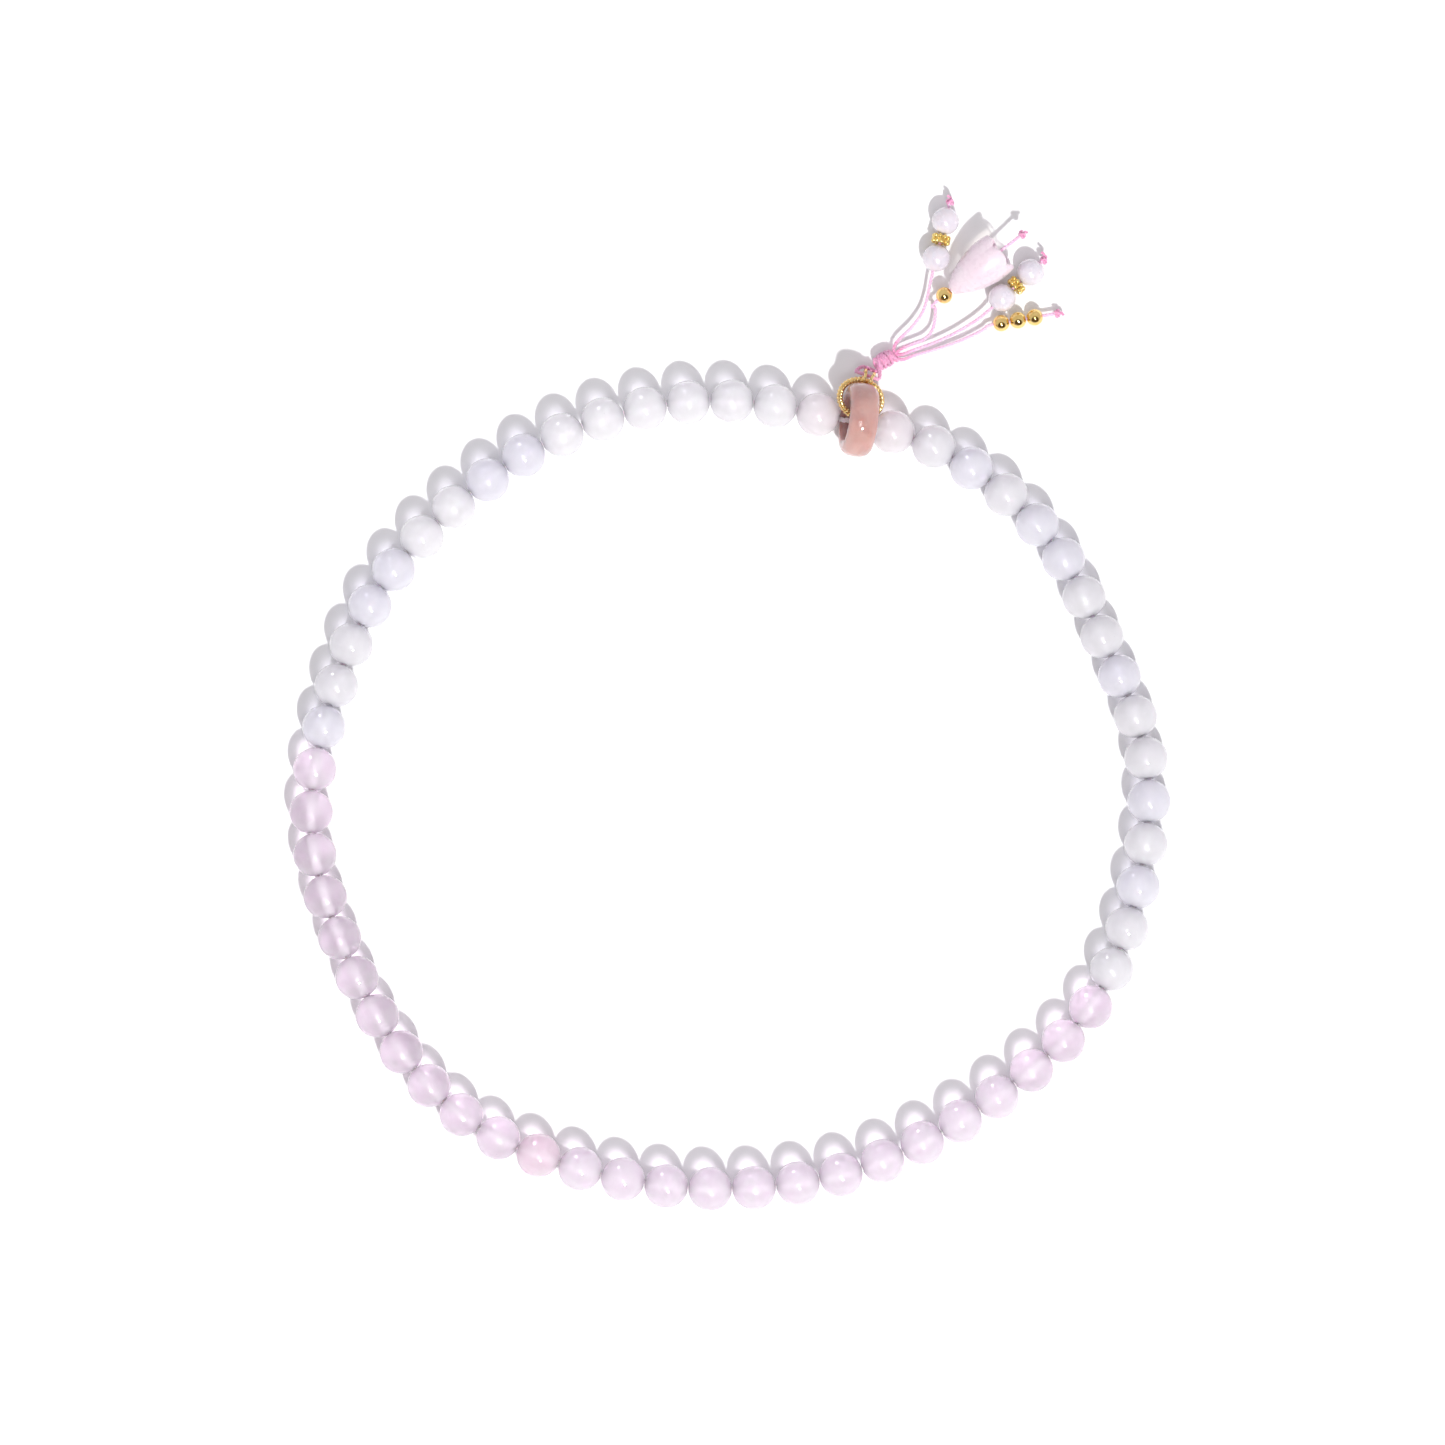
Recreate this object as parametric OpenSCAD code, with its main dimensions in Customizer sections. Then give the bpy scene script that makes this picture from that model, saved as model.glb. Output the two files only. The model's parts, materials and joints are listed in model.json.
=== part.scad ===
// Prayer beads lying on a table: a closed loop of round stone beads on one cord, with an upright
// stone ring in the loop. A twisted gold ring is linked through the stone ring, two small jump
// rings hang on it, and a knotted thread tassel of four strands is tied to the jump rings.
// The origin is the middle of the loop at table height. +Z is up, and +Y points to the tassel.

/* [Loop beads] */
// Diameter of a round bead
bead_d = 6; // [5.9:0.05:6.1]
// Free space between neighbouring beads
bead_gap = 0.04; // [0.03:0.01:0.06]
// Diameter of the hole drilled through a bead
bead_bore_d = 0.96; // [0.92:0.02:1]
// Distance between the centres of the two beads beside the stone ring
ring_space = 10.6; // [10.5:0.1:10.9]
// Diameter of the stringing cord
cord_d = 0.8; // [0.76:0.02:0.8]

/* [Stone ring] */
// Outer diameter of the stone ring
stone_d = 10.2; // [10.1:0.05:10.3]
// Radial width of the stone ring's body
stone_w = 2.5; // [2.4:0.05:2.5]
// Thickness of the stone ring along its axis
stone_t = 4; // [3.9:0.05:4]
// Lean of the standing stone ring, in degrees
stone_lean = 11; // [10:1:12]
// Heading of the stone ring's axis, in degrees
stone_yaw = -5.5; // [-7:0.5:-4]

/* [Gold rings] */
// Outer diameter of the twisted ring
rope_d = 6.8; // [6.75:0.05:6.9]
// Diameter of the twisted ring's wire
rope_wire_d = 0.9; // [0.85:0.05:0.9]
// Angle by which the twisted ring slopes down away from the loop
rope_slope = 18; // [15:1:20]
// Outer diameter of a jump ring
jump_d = 2.7; // [2.65:0.05:2.75]
// Diameter of a jump ring's wire
jump_wire_d = 0.4; // [0.35:0.05:0.4]

/* [Tassel] */
// Diameter of a tassel thread
thread_d = 0.5; // [0.45:0.05:0.5]
// Diameter of the wrapped knot
knot_d = 2.3; // [2.2:0.05:2.35]
// Diameter of a strand's end knot
end_knot_d = 1.1; // [1:0.1:1.2]
// Diameter of a pearl
pearl_d = 3.8; // [3.7:0.05:3.85]
// Diameter of a smooth gold bead
gold_d = 2.3; // [2.2:0.05:2.35]
// Diameter of the hole through each tassel bead
tassel_bore_d = 0.66; // [0.62:0.02:0.68]
// Outer diameter of a granulated spacer
spacer_d = 2.7; // [2.6:0.05:2.75]
// Length of the flower along the thread
flower_l = 8.8; // [8.6:0.1:8.9]
// Widest diameter across the flower's petals
flower_d = 6.6; // [6.4:0.1:6.7]

/* [Hidden] */
// Rose beads fill the near part of the loop, counted from the stone ring's right side
bead_count = 58;
FIRST_ROSE = 17;
LAST_ROSE = 42;
// Milky beads on each side of the stone ring that are nodes of their own
LOOSE_MILKY = 5;
ROSE = [for (i = [FIRST_ROSE:LAST_ROSE]) i];
MILKY = concat([for (i = [1:LOOSE_MILKY]) i],
    [for (i = [bead_count - LOOSE_MILKY + 1:bead_count]) i]);
MILKY_ROW = concat([for (i = [LOOSE_MILKY + 1:FIRST_ROSE - 1]) i],
    [for (i = [LAST_ROSE + 1:bead_count - LOOSE_MILKY]) i]);

// Route of the stringing cord in plan, clockwise from the middle of the stone ring
CORD_ROUTE = [
    [18, 51.3], [31, 47], [44.5, 35.5], [52, 21], [58, 4.5], [57, -12.5], [50.5, -30], [37, -43],
    [19.5, -52.5], [2, -55.5], [-15, -54], [-33, -47.5], [-44.5, -36.5], [-53, -20.5], [-57, -4],
    [-54, 13], [-47, 29], [-34.5, 42], [-19.5, 51], [-1, 54.5]];
SPLINE_STEPS = 16;

// Centre of the stone ring over the middle of the cord's gap
stone_offset = [0.45, 0.05];
// Shift of the twisted ring along the stone ring's axis
rope_shift = 0.1;
// Distance from the stone ring's axis to the twisted ring's centre
rope_reach = 3.3;
// Places of the two jump rings round the twisted ring, and their common hinge between them
JUMP_ANGLES = [7, 24];
hinge_angle = 15.5;
// Distance from the twisted wire to a jump ring's centre, and its droop
jump_reach = 0.45;
jump_droop = 15;
// Runs of the thread loop inside and outside the jump rings' far wires
run_inside = 0.5;
run_outside = 2;

// The two ends of the wrapped knot's middle line
KNOT_START = [21.3, 60.1, 1.5];
KNOT_END = [23, 61.1, 1.25];
// Where the thread loop's two ends sit in the knot, from its start
THREAD_STARTS = [[-0.4, 0, 0], [0.4, 0, 0]];

// Route of each strand from the knot to its first bead, then its beaded stretch lies straight
STRAND_ROUTES = [
    [[23.4, 62.5, 1.5], [24.3, 63.6, 1.6], [25.8, 65.1, 1.6], [27.2, 67, 1.7], [27.9, 69, 1.8],
        [28.3, 71, 1.9]],
    [[24.1, 61.9, 1.5], [25.8, 62.7, 1.5], [27.5, 63.4, 1.5], [28.6, 64.6, 1.5], [29, 66.2, 1.6],
        [29.1, 67.8, 1.8]],
    [[24.4, 61.3, 1.3], [26, 61.9, 1.3], [29, 63, 1.3], [32, 64.4, 1.4], [34.8, 66.1, 1.6],
        [36.2, 67.2, 1.8]],
    [[24.3, 60.6, 1], [26, 61.2, 0.8], [29, 62.1, 0.8], [32, 63.1, 0.9], [34.5, 64.2, 1],
        [36, 65, 1.1]]];
// Start and end of each beaded stretch
STRAND_BEADED = [
    [[28.6, 72.3, 1.95], [31.1, 82.6, 1.95]],
    [[29.4, 68.8, 1.9], [41, 77.6, 4.3]],
    [[36.9, 67.8, 1.95], [44, 74.4, 1.95]],
    [[36.9, 65.5, 1.2], [45.9, 67.1, 1.2]]];
// How far along its beaded stretch each piece sits
PEARL_SPOTS = [[0, 2.5], [0, 7.85], [2, 1.9], [2, 7.2]];
SPACER_SPOTS = [[0, 5.18], [2, 4.55]];
GOLD_SPOTS = [[1, 1.1], [3, 1.25], [3, 3.6], [3, 5.95]];
FLOWER_SPOT = [1, 2.35];

STRAND_NAMES = [for (i = [1:4]) str("strand_", i)];
PEARL_NAMES = [for (i = [1:4]) str("pearl_", i)];
GOLD_NAMES = [for (i = [1:4]) str("gold_bead_", i)];
SPACER_NAMES = ["spacer_1", "spacer_2"];
JUMP_NAMES = ["jump_ring_1", "jump_ring_2"];

ROUND = 64;
TUBE_SIDES = 8;

// ---- Curves ----

// Point at t from 0 to 1 between b and c, on a smooth curve through a, b, c and d
function spline(a, b, c, d, t) =
    (2 * b + (c - a) * t + (2 * a - 5 * b + 4 * c - d) * t * t
        + (3 * b - a - 3 * c + d) * t * t * t) / 2;
function closed_spline(p, i, t) =
    let (n = len(p)) spline(p[(i + n - 1) % n], p[i], p[(i + 1) % n], p[(i + 2) % n], t);
function open_spline(p, i, t) =
    let (last = len(p) - 1)
    spline(p[max(i - 1, 0)], p[i], p[min(i + 1, last)], p[min(i + 2, last)], t);

fine_route = [for (i = [0:len(CORD_ROUTE) - 1], k = [0:SPLINE_STEPS - 1])
    closed_spline(CORD_ROUTE, i, k / SPLINE_STEPS)];
fine_count = len(fine_route);
fine_lengths = [for (i = 0, s = 0; i <= fine_count;
    s = s + norm(fine_route[(i + 1) % fine_count] - fine_route[i % fine_count]), i = i + 1) s];

// The cord is as long as its beads and the stone ring's space need
pitch = bead_d + bead_gap;
loop_length = (bead_count - 1) * pitch + ring_space;
route_scale = loop_length / fine_lengths[fine_count];
route_x = [for (i = [0:fine_count]) [fine_lengths[i], fine_route[i % fine_count].x]];
route_y = [for (i = [0:fine_count]) [fine_lengths[i], fine_route[i % fine_count].y]];
function on_loop(s) = route_scale * [lookup(s / route_scale, route_x), lookup(s / route_scale, route_y)];

// Where two beads meet: joint 0 is before bead 1, and joint 58 is after bead 58
bead_z = bead_d / 2;
function junction(i) =
    let (p = on_loop((ring_space - pitch) / 2 + i * pitch)) [p.x, p.y, bead_z];
function bead_centre(i) = (junction(i - 1) + junction(i)) / 2;
function bead_axis(i) = unit(junction(i) - junction(i - 1));

function unit(v) = v / norm(v);
function rounded_side(v) = unit(cross(v, [0, 0, 1]));

// Ring of a tube's points at p, square to the direction v
function tube_ring(p, v, r) =
    let (side = rounded_side(v), over = cross(side, unit(v)))
    [for (a = [0:TUBE_SIDES - 1])
        p + r * (cos(360 * a / TUBE_SIDES) * side + sin(360 * a / TUBE_SIDES) * over)];

// Tube along an open path of points
module open_tube(path, r) {
    last = len(path) - 1;
    rings = [for (i = [0:last])
        tube_ring(path[i], path[min(i + 1, last)] - path[max(i - 1, 0)], r)];
    sides = [for (i = [0:last - 1], a = [0:TUBE_SIDES - 1])
        let (b = (a + 1) % TUBE_SIDES)
        [i * TUBE_SIDES + a, i * TUBE_SIDES + b, (i + 1) * TUBE_SIDES + b,
            (i + 1) * TUBE_SIDES + a]];
    ends = [[for (a = [TUBE_SIDES - 1:-1:0]) a], [for (a = [0:TUBE_SIDES - 1]) last * TUBE_SIDES + a]];
    polyhedron([for (ring = rings) each ring], concat(sides, ends), convexity = 4);
}

// Tube along a closed path of points
module closed_tube(path, r) {
    n = len(path);
    rings = [for (i = [0:n - 1]) tube_ring(path[i], path[(i + 1) % n] - path[(i + n - 1) % n], r)];
    sides = [for (i = [0:n - 1], a = [0:TUBE_SIDES - 1])
        let (b = (a + 1) % TUBE_SIDES, j = (i + 1) % n)
        [i * TUBE_SIDES + a, i * TUBE_SIDES + b, j * TUBE_SIDES + b, j * TUBE_SIDES + a]];
    polyhedron([for (ring = rings) each ring], sides, convexity = 6);
}

// ---- Placing ----

// Moves +Z to the direction v, at the point p
module along(p, v) {
    translate(p) rotate([0, acos(v.z / norm(v)), atan2(v.y, v.x)]) children();
}

module drilled_ball(d, bore_d) {
    difference() {
        sphere(d = d, $fn = ROUND);
        cylinder(d = bore_d, h = d + 1, center = true, $fn = ROUND);
    }
}

// Circle of round wire about Z
module wire_ring(d, wire_d) {
    rotate_extrude($fn = ROUND) translate([(d - wire_d) / 2, 0]) circle(d = wire_d, $fn = 32);
}

// ---- Loop ----

gap_middle = (junction(0) + junction(bead_count)) / 2;
gap_way = unit(junction(0) - junction(bead_count));
// The cord climbs over the stone ring's rim, with its closing knot there
cord_climb = 0.5;
climb_half = 1.1;
cord_points = concat(
    [for (i = [0:bead_count]) junction(i)],
    [for (side = [-1, 1]) gap_middle + side * climb_half * gap_way + [0, 0, cord_climb]]);
closing_knot_d = 1.1;
closing_knot_rise = cord_climb + 0.12;

module stringing_cord() color("pink") {
    closed_tube(cord_points, cord_d / 2);
    translate(gap_middle + [0, 0, closing_knot_rise]) sphere(d = closing_knot_d, $fn = 32);
}

module loop_bead(i) along(bead_centre(i), bead_axis(i)) drilled_ball(bead_d, bead_bore_d);

module rose_bead(i) color("pink") loop_bead(i);

module milky_bead(i) color("lavender") loop_bead(i);

module milky_bead_row() color("lavender") for (i = MILKY_ROW) loop_bead(i);

// ---- Stone ring and gold rings ----

body_r = stone_w / 2;
body_reach = stone_d / 2 - body_r;
flat_half = stone_t / 2 - body_r;
stone_z = body_reach * cos(stone_lean) + flat_half * sin(stone_lean) + body_r;
stone_centre = [gap_middle.x + stone_offset.x, gap_middle.y + stone_offset.y, stone_z];

// Stone ring's own place: its axis lies along X, and Y and Z cross it
module in_stone_ring() translate(stone_centre) rotate([0, stone_lean, stone_yaw]) children();

module stone_ring() color("rosybrown") in_stone_ring() rotate([0, 90, 0]) rotate_extrude($fn = ROUND) {
    for (side = [-1, 1]) translate([body_reach, side * flat_half]) circle(r = body_r, $fn = 32);
    translate([body_reach - body_r, -flat_half]) square([stone_w, 2 * flat_half]);
}

// Twisted ring's own place: its axis lies along Z
rope_reach_r = (rope_d - rope_wire_d) / 2;
module in_twisted_ring() {
    in_stone_ring() rotate([-rope_slope, 0, 0]) translate([rope_shift, rope_reach, 0]) children();
}

module twisted_ring() color("gold") in_twisted_ring() wire_ring(rope_d, rope_wire_d);

// A jump ring hangs on the twisted wire at the angle a from the far side
module jump_ring(a) color("gold") in_twisted_ring() rotate([0, 0, -a]) translate([0, rope_reach_r, 0])
    rotate([-jump_droop, 0, 0]) translate([0, jump_reach, 0]) rotate([0, 90, 0])
    wire_ring(jump_d, jump_wire_d);

// The same places as points, for the thread that runs through the jump rings
function turn_x(p, a) = [p.x, p.y * cos(a) - p.z * sin(a), p.y * sin(a) + p.z * cos(a)];
function turn_y(p, a) = [p.x * cos(a) + p.z * sin(a), p.y, p.z * cos(a) - p.x * sin(a)];
function turn_z(p, a) = [p.x * cos(a) - p.y * sin(a), p.x * sin(a) + p.y * cos(a), p.z];
function from_stone_ring(p) = stone_centre + turn_z(turn_y(p, stone_lean), stone_yaw);
function from_twisted_ring(p) =
    from_stone_ring(turn_x(p + [rope_shift, rope_reach, 0], -rope_slope));
function from_jump_ring(a, reach) =
    let (p = turn_x([0, jump_reach + reach, 0], -jump_droop) + [0, rope_reach_r, 0])
    from_twisted_ring(turn_z(p, -a));

// ---- Tassel ----

// Thread that goes out through both jump rings and back, with both ends in the knot
loop_left = 0.95;
loop_right = 1;
thread_corners = [
    KNOT_START + THREAD_STARTS[0],
    from_jump_ring(JUMP_ANGLES[1], run_outside),
    from_jump_ring(JUMP_ANGLES[0], run_outside),
    (from_jump_ring(JUMP_ANGLES[0], run_outside) + from_jump_ring(JUMP_ANGLES[0], run_inside)) / 2
        + loop_left * unit(from_jump_ring(JUMP_ANGLES[0], 1) - from_jump_ring(JUMP_ANGLES[1], 1)),
    from_jump_ring(JUMP_ANGLES[0], run_inside),
    from_jump_ring(JUMP_ANGLES[1], run_inside),
    from_jump_ring(JUMP_ANGLES[1], run_inside)
        + loop_right * unit(from_jump_ring(JUMP_ANGLES[1], 1) - from_jump_ring(JUMP_ANGLES[0], 1)),
    KNOT_START + THREAD_STARTS[1]];
LOOP_STEPS = 4;
thread_points = concat(
    [for (i = [0:len(thread_corners) - 2], k = [0:LOOP_STEPS - 1])
        open_spline(thread_corners, i, k / LOOP_STEPS)],
    [thread_corners[len(thread_corners) - 1]]);

module thread_loop() color("hotpink") open_tube(thread_points, thread_d / 2);

module wrapped_knot() color("hotpink") along(KNOT_START, KNOT_END - KNOT_START) {
    sphere(d = knot_d, $fn = ROUND);
    cylinder(d = knot_d, h = norm(KNOT_END - KNOT_START), $fn = ROUND);
    translate([0, 0, norm(KNOT_END - KNOT_START)]) sphere(d = knot_d, $fn = ROUND);
}

// Thread of a strand, with the knot that stops its beads
module strand(k) color("hotpink") {
    open_tube(concat(STRAND_ROUTES[k], STRAND_BEADED[k]), thread_d / 2);
    translate(STRAND_BEADED[k][1]) sphere(d = end_knot_d, $fn = 32);
}

// Puts a tassel piece, with its hole along Z, at its spot on a strand
module on_strand(spot) {
    run = STRAND_BEADED[spot[0]];
    way = unit(run[1] - run[0]);
    along(run[0] + spot[1] * way, way) children();
}

module pearl(k) color("ghostwhite") on_strand(PEARL_SPOTS[k]) drilled_ball(pearl_d, tassel_bore_d);

module gold_bead(k) color("gold") on_strand(GOLD_SPOTS[k]) drilled_ball(gold_d, tassel_bore_d);

GRAINS = 8;
grain_d = 0.7;
spacer_core_d = spacer_d - 2 * grain_d;
row_half = 0.34;
module spacer(k) color("goldenrod") on_strand(SPACER_SPOTS[k]) difference() {
    union() {
        cylinder(d = spacer_core_d + grain_d / 2, h = 2 * row_half + grain_d / 2, center = true,
            $fn = ROUND);
        for (row = [0, 1], a = [0:GRAINS - 1]) {
            rotate([0, 0, (a + row / 2) * 360 / GRAINS])
                translate([(spacer_d - grain_d) / 2, 0, (2 * row - 1) * row_half])
                sphere(d = grain_d, $fn = 24);
        }
    }
    cylinder(d = tassel_bore_d, h = 4, center = true, $fn = ROUND);
}

// The flower is a bell that opens away from the knot, with five petals
PETALS = 5;
FLOWER_SIDES = 40;
FLOWER_RINGS = 10;
flower_tip_r = 0.75;
flower_wall = 0.55;
flower_cup_start = 3.2;
flower_turn = 54;
// Radius of the bell at t from 0 at the tip to 1 at the mouth, at the angle a round it
function flower_r(t, a) =
    let (bell = flower_tip_r + (flower_d / 2 - flower_tip_r) * (1 - pow(1 - t, 2.5)))
    bell * (1 - 0.13 * t * t * (1 - cos(PETALS * a)) / 2);
module bell_shape(start, inset) {
    rings = [for (i = [0:FLOWER_RINGS], s = [0:FLOWER_SIDES - 1])
        let (t = start + (1 - start) * i / FLOWER_RINGS, a = 360 * s / FLOWER_SIDES,
            r = max(flower_r(t, a) - inset, flower_tip_r - inset / 2))
        [r * cos(a), r * sin(a), t * flower_l]];
    sides = [for (i = [0:FLOWER_RINGS - 1], a = [0:FLOWER_SIDES - 1])
        let (b = (a + 1) % FLOWER_SIDES, p = i * FLOWER_SIDES)
        each [[p + a, p + FLOWER_SIDES + b, p + b], [p + a, p + FLOWER_SIDES + a, p + FLOWER_SIDES + b]]];
    ends = [[for (a = [0:FLOWER_SIDES - 1]) a],
        [for (a = [FLOWER_SIDES - 1:-1:0]) FLOWER_RINGS * FLOWER_SIDES + a]];
    polyhedron(rings, concat(sides, ends), convexity = 4);
}
module flower() color("mistyrose") on_strand(FLOWER_SPOT) rotate([0, 0, flower_turn]) difference() {
    bell_shape(0, 0);
    translate([0, 0, 0.01]) bell_shape(flower_cup_start / flower_l, flower_wall);
    cylinder(d = tassel_bore_d, h = 3 * flower_l, center = true, $fn = ROUND);
}

// ---- Nodes ----

stringing_cord();
stone_ring();
twisted_ring();
for (k = [0, 1]) jump_ring(JUMP_ANGLES[k]);
thread_loop();
wrapped_knot();
for (k = [0:3]) strand(k);
for (k = [0:3]) pearl(k);
for (k = [0, 1]) spacer(k);
for (k = [0:3]) gold_bead(k);
flower();
for (i = ROSE) rose_bead(i);
for (i = MILKY) milky_bead(i);
milky_bead_row();
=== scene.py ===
import json
import math
import random

import bmesh
import bpy
import numpy as np
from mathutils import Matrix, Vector, noise


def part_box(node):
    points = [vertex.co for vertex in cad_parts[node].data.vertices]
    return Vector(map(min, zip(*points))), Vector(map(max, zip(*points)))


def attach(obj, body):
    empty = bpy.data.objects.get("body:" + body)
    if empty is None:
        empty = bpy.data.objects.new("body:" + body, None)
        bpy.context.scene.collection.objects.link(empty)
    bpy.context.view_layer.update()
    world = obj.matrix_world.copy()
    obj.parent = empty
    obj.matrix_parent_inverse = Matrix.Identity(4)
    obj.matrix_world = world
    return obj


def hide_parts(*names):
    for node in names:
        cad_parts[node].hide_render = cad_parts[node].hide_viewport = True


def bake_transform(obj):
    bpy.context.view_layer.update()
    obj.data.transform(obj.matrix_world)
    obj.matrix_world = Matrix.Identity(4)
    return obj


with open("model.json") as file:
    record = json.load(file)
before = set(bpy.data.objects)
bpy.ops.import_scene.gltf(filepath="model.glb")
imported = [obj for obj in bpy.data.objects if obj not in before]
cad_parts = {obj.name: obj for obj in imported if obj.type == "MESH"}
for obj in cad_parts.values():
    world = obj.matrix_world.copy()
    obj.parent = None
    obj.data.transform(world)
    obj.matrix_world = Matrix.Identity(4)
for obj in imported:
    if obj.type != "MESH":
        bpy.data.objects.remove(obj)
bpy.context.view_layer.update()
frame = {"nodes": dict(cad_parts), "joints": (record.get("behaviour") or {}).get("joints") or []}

MM = 0.001
TURN = 2 * math.pi
JOINTS = {joint["name"]: joint for joint in frame["joints"]}
# The small irregularities of the pieces are the same each time
SEED = 58
draw = random.Random(SEED)
noise.seed_set(SEED)

# ---- The loop, as in the CAD. Its beads are counted from the stone ring's right side ----

BEAD_COUNT = 58
FIRST_ROSE, LAST_ROSE = 17, 42
# How many milky beads on each side of the stone ring turn by themselves
LOOSE_MILKY = 5
PITCH = 6.04 * MM
RING_SPACE = 10.6 * MM
BORE_R = 0.48 * MM
CORD_R = 0.38 * MM
# Inside the stone ring the cord climbs to a short level stretch with its closing knot
CORD_CLIMB = 0.5 * MM
CLIMB_HALF = 1.1 * MM
ROUTE_STEPS = 16
CORD_ROUTE = MM * np.array([
    (18, 51.3), (31, 47), (44.5, 35.5), (52, 21), (58, 4.5), (57, -12.5), (50.5, -30), (37, -43),
    (19.5, -52.5), (2, -55.5), (-15, -54), (-33, -47.5), (-44.5, -36.5), (-53, -20.5), (-57, -4),
    (-54, 13), (-47, 29), (-34.5, 42), (-19.5, 51), (-1, 54.5)])

# ---- The tassel, as in the CAD ----

THREAD_D = 0.5 * MM
TASSEL_BORE_R = 0.33 * MM
KNOT_START = MM * np.array((21.3, 60.1, 1.5))
KNOT_END = MM * np.array((23, 61.1, 1.25))
# The thread's bend left of the jump rings, and its runs outside and inside their far wires
BIGHT = MM * np.array((18, 58.74, 2.4))
OUTSIDE_RUN = MM * np.array([(19.09, 59.45, 1.99), (21.1, 58.77, 1.63)])
INSIDE_RUN = MM * np.array([(19.33, 58.11, 3.12), (20.17, 57.83, 2.92), (21.32, 57.69, 2.46)])
# Each strand from the wrapped knot to its end knot. Its pieces sit on the last, straight stretch
STRAND_ROUTES = MM * np.array([
    [(23.4, 62.5, 1.5), (24.3, 63.6, 1.6), (25.8, 65.1, 1.6), (27.2, 67, 1.7), (27.9, 69, 1.8),
     (28.3, 71, 1.9), (28.6, 72.3, 1.95), (31.1, 82.6, 1.95)],
    [(24.1, 61.9, 1.5), (25.8, 62.7, 1.5), (27.5, 63.4, 1.5), (28.6, 64.6, 1.5), (29, 66.2, 1.6),
     (29.1, 67.8, 1.8), (29.4, 68.8, 1.9), (41, 77.6, 4.3)],
    [(24.4, 61.3, 1.3), (26, 61.9, 1.3), (29, 63, 1.3), (32, 64.4, 1.4), (34.8, 66.1, 1.6),
     (36.2, 67.2, 1.8), (36.9, 67.8, 1.95), (44, 74.4, 1.95)],
    [(24.3, 60.6, 1), (26, 61.2, 0.8), (29, 62.1, 0.8), (32, 63.1, 0.9), (34.5, 64.2, 1),
     (36, 65, 1.1), (36.9, 65.5, 1.2), (45.9, 67.1, 1.2)]])
STRAND_PIECES = [
    ["pearl_1", "spacer_1", "pearl_2"],
    ["gold_bead_1", "flower"],
    ["pearl_3", "spacer_2", "pearl_4"],
    ["gold_bead_2", "gold_bead_3", "gold_bead_4"]]


# ---- Points, paths and meshes ----

def unit(v):
    """The vector with length 1."""
    return v / np.linalg.norm(v)


def square_to(axis):
    """Two unit vectors square to axis and to each other."""
    up = np.array((0.0, 0.0, 1.0)) if abs(axis[2]) < 0.9 else np.array((1.0, 0.0, 0.0))
    across = unit(np.cross(axis, up))
    return across, np.cross(axis, across)


def spline(a, b, c, d, steps):
    """Points of a Catmull-Rom curve from each b towards each c."""
    t = np.linspace(0, 1, steps, endpoint=False)[None, :, None]
    a, b, c, d = (p[:, None] for p in (a, b, c, d))
    curve = 2 * b + (c - a) * t + (2 * a - 5 * b + 4 * c - d) * t**2 + (3 * b - a - 3 * c + d) * t**3
    return (curve / 2).reshape(-1, b.shape[-1])


def closed_spline(p, steps):
    """Smooth closed curve through the points, with so many steps between them."""
    return spline(np.roll(p, 1, 0), p, np.roll(p, -1, 0), np.roll(p, -2, 0), steps)


def open_spline(points, steps):
    """Smooth curve through the points from the first to the last."""
    p = np.vstack([2 * points[0] - points[1], points, 2 * points[-1] - points[-2]])
    return np.vstack([spline(p[:-3], p[1:-2], p[2:-1], p[3:], steps), points[-1:]])


def lengths_along(path):
    """How far along the path each of its points is."""
    return np.concatenate([[0], np.cumsum(np.linalg.norm(np.diff(path, axis=0), axis=1))])


def even(path, step):
    """The path again, with its points about step apart."""
    along = lengths_along(path)
    at = np.linspace(0, along[-1], math.ceil(along[-1] / step) + 1)
    return np.stack([np.interp(at, along, path[:, k]) for k in range(path.shape[1])], axis=1)


def path_frames(path, closed):
    """Two unit vectors square to the path at each point, turning with it as little as they can."""
    ways = np.roll(path, -1, 0) - np.roll(path, 1, 0)
    if not closed:
        ways[0], ways[-1] = path[1] - path[0], path[-1] - path[-2]
    ways = ways / np.linalg.norm(ways, axis=1)[:, None]
    side = square_to(ways[0])[0]
    sides = []
    for way in ways:
        side = unit(side - (side @ way) * way)
        sides.append(side)
    sides = np.array(sides)
    overs = np.cross(ways, sides)
    if not closed:
        return sides, overs
    # The frame comes round turned by some angle, which is spread along the whole path
    back = unit(side - (side @ ways[0]) * ways[0])
    slip = math.atan2(back @ overs[0], back @ sides[0])
    turn = -slip * np.arange(len(path))[:, None] / len(path)
    return np.cos(turn) * sides + np.sin(turn) * overs, np.cos(turn) * overs - np.sin(turn) * sides


# How near a thread's middle the grooves between its plies reach, for a thread of radius 1
GROOVE = 0.66


def ply_reach(angles, plies):
    """Distance from the middle of a thread of radius 1 to its surface, for round plies side by side."""
    if plies == 1:
        return np.ones_like(angles)
    ply_r = math.sin(math.pi / plies) / (1 + math.sin(math.pi / plies))
    off = (angles + math.pi / plies) % (TURN / plies) - math.pi / plies
    middle = 1 - ply_r
    reach = middle * np.cos(off) + np.sqrt(np.maximum(ply_r**2 - (middle * np.sin(off)) ** 2, 0))
    return np.maximum(reach, GROOVE)


def grid_faces(rows, sides, closed):
    """Quads over rows of points that each go once round."""
    k = np.arange(sides)
    faces = []
    for i in range(rows if closed else rows - 1):
        j = (i + 1) % rows
        quads = [i * sides + k, i * sides + (k + 1) % sides, j * sides + (k + 1) % sides, j * sides + k]
        faces += np.stack(quads, axis=1).tolist()
    return faces


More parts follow.
